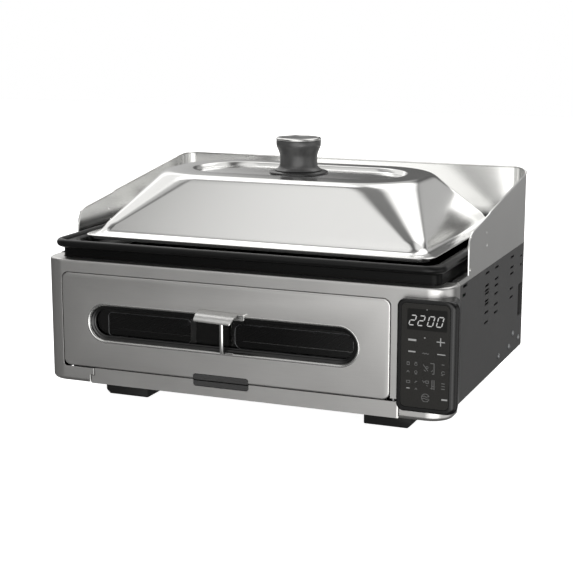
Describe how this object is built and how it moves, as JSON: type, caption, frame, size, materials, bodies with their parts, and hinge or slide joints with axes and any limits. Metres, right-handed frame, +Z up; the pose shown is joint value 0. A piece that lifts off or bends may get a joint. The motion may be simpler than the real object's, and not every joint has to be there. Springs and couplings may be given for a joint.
{
  "type": "countertop electric griddle with oven",
  "caption": "Low stainless countertop cooker: lift-out black griddle pan under a dome lid with a knob, splash guard, drop-down windowed oven door, crumb tray and a touch control pod",
  "frame": {"origin": "centre of the overall footprint, on the ground under the feet", "axes": "+Z up, -Y out of the front door, +X towards the control pod"},
  "size_m": [0.512, 0.3884, 0.3081],
  "materials": {
    "stainless": "satin stainless sheet, brushed along its length",
    "lid_steel": "bright satin stainless, drawn",
    "chrome": "polished",
    "galvanised": "plain zinc-coated sheet",
    "panel_black": "dark grey powder coat",
    "oven_enamel": "dark enamel inside the oven",
    "enamel_black": "black enamel",
    "pan_black": "black non-stick coating on metal",
    "gloss_black": "gloss black",
    "matte_black": "fine matte",
    "gunmetal": "dark metallic plastic",
    "glass": "tinted clear",
    "rubber": "matte",
    "element": "oxidised sheath",
    "board": "printed circuit board"
  },
  "bodies": {
    "cabinet": {"front_bezel": "stainless", "splash_guard": "stainless", "left_side_panel": "panel_black", "right_side_panel": "panel_black", "rear_panel": "panel_black", "base_plate": "galvanised", "lower_rail": "galvanised", "left_hinge_bracket": "galvanised", "right_hinge_bracket": "galvanised", "oven_liner": "oven_enamel", "left_rack_rail": "galvanised", "right_rack_rail": "galvanised", "oven_element": "element", "griddle_element": "element", "heat_reflector": "galvanised", "griddle_probe": "galvanised", "oven_probe": "galvanised", "deck_frame": "enamel_black", "control_housing": "gloss_black", "control_glass": "gloss_black", "display_module": "matte_black", "touch_board": "board", "power_board": "board", "wiring_harness": "rubber", "power_inlet": "matte_black", "front_left_foot": "rubber", "front_right_foot": "rubber", "rear_left_foot": "rubber", "rear_right_foot": "rubber", "front_left_foot_screw": "galvanised", "front_right_foot_screw": "galvanised", "rear_left_foot_screw": "galvanised", "rear_right_foot_screw": "galvanised", "side_panel_screw_1": "galvanised", "side_panel_screw_2": "galvanised", "side_panel_screw_3": "galvanised", "side_panel_screw_4": "galvanised"},
    "door": {"door_outer_panel": "stainless", "door_inner_panel": "galvanised", "window_glass": "glass", "window_gasket": "rubber", "window_trim": "chrome", "door_handle": "stainless", "window_stay": "chrome", "left_hinge_pin": "galvanised", "right_hinge_pin": "galvanised", "door_recess_liner": "matte_black"},
    "tray": {"crumb_tray": "galvanised", "tray_front": "stainless", "tray_pull": "matte_black"},
    "rack": {"oven_rack": "chrome"},
    "pan": {"griddle_pan": "pan_black", "pan_rim": "pan_black"},
    "lid": {"lid_shell": "lid_steel", "knob_flange": "matte_black", "lid_knob": "gunmetal", "knob_ring": "chrome", "knob_cap": "gunmetal", "knob_screw": "galvanised"}
  },
  "joints": [
    {"name": "door_hinge", "type": "hinge", "parent": "cabinet", "child": "door", "pos_m": [-0.026, -0.17078, 0.0505], "axis": [1, 0, 0], "range_deg": [0, 75]},
    {"name": "rack_slide", "type": "slide", "parent": "cabinet", "child": "rack", "axis": [0, -1, 0], "range_m": [0, 0.04]},
    {"name": "tray_slide", "type": "slide", "parent": "cabinet", "child": "tray", "axis": [0, -1, 0], "range_m": [0, 0.29]},
    {"name": "pan_lift", "type": "slide", "parent": "cabinet", "child": "pan", "axis": [0, 0, 1], "range_m": [0, 0.1]},
    {"name": "lid_lift", "type": "slide", "parent": "pan", "child": "lid", "axis": [0, 0, 1], "range_m": [0, 0.12]}
  ],
  "couplings": [
    {"joint": "rack_slide", "follows": "door_hinge", "m_per_rad": 0.03}
  ]
}
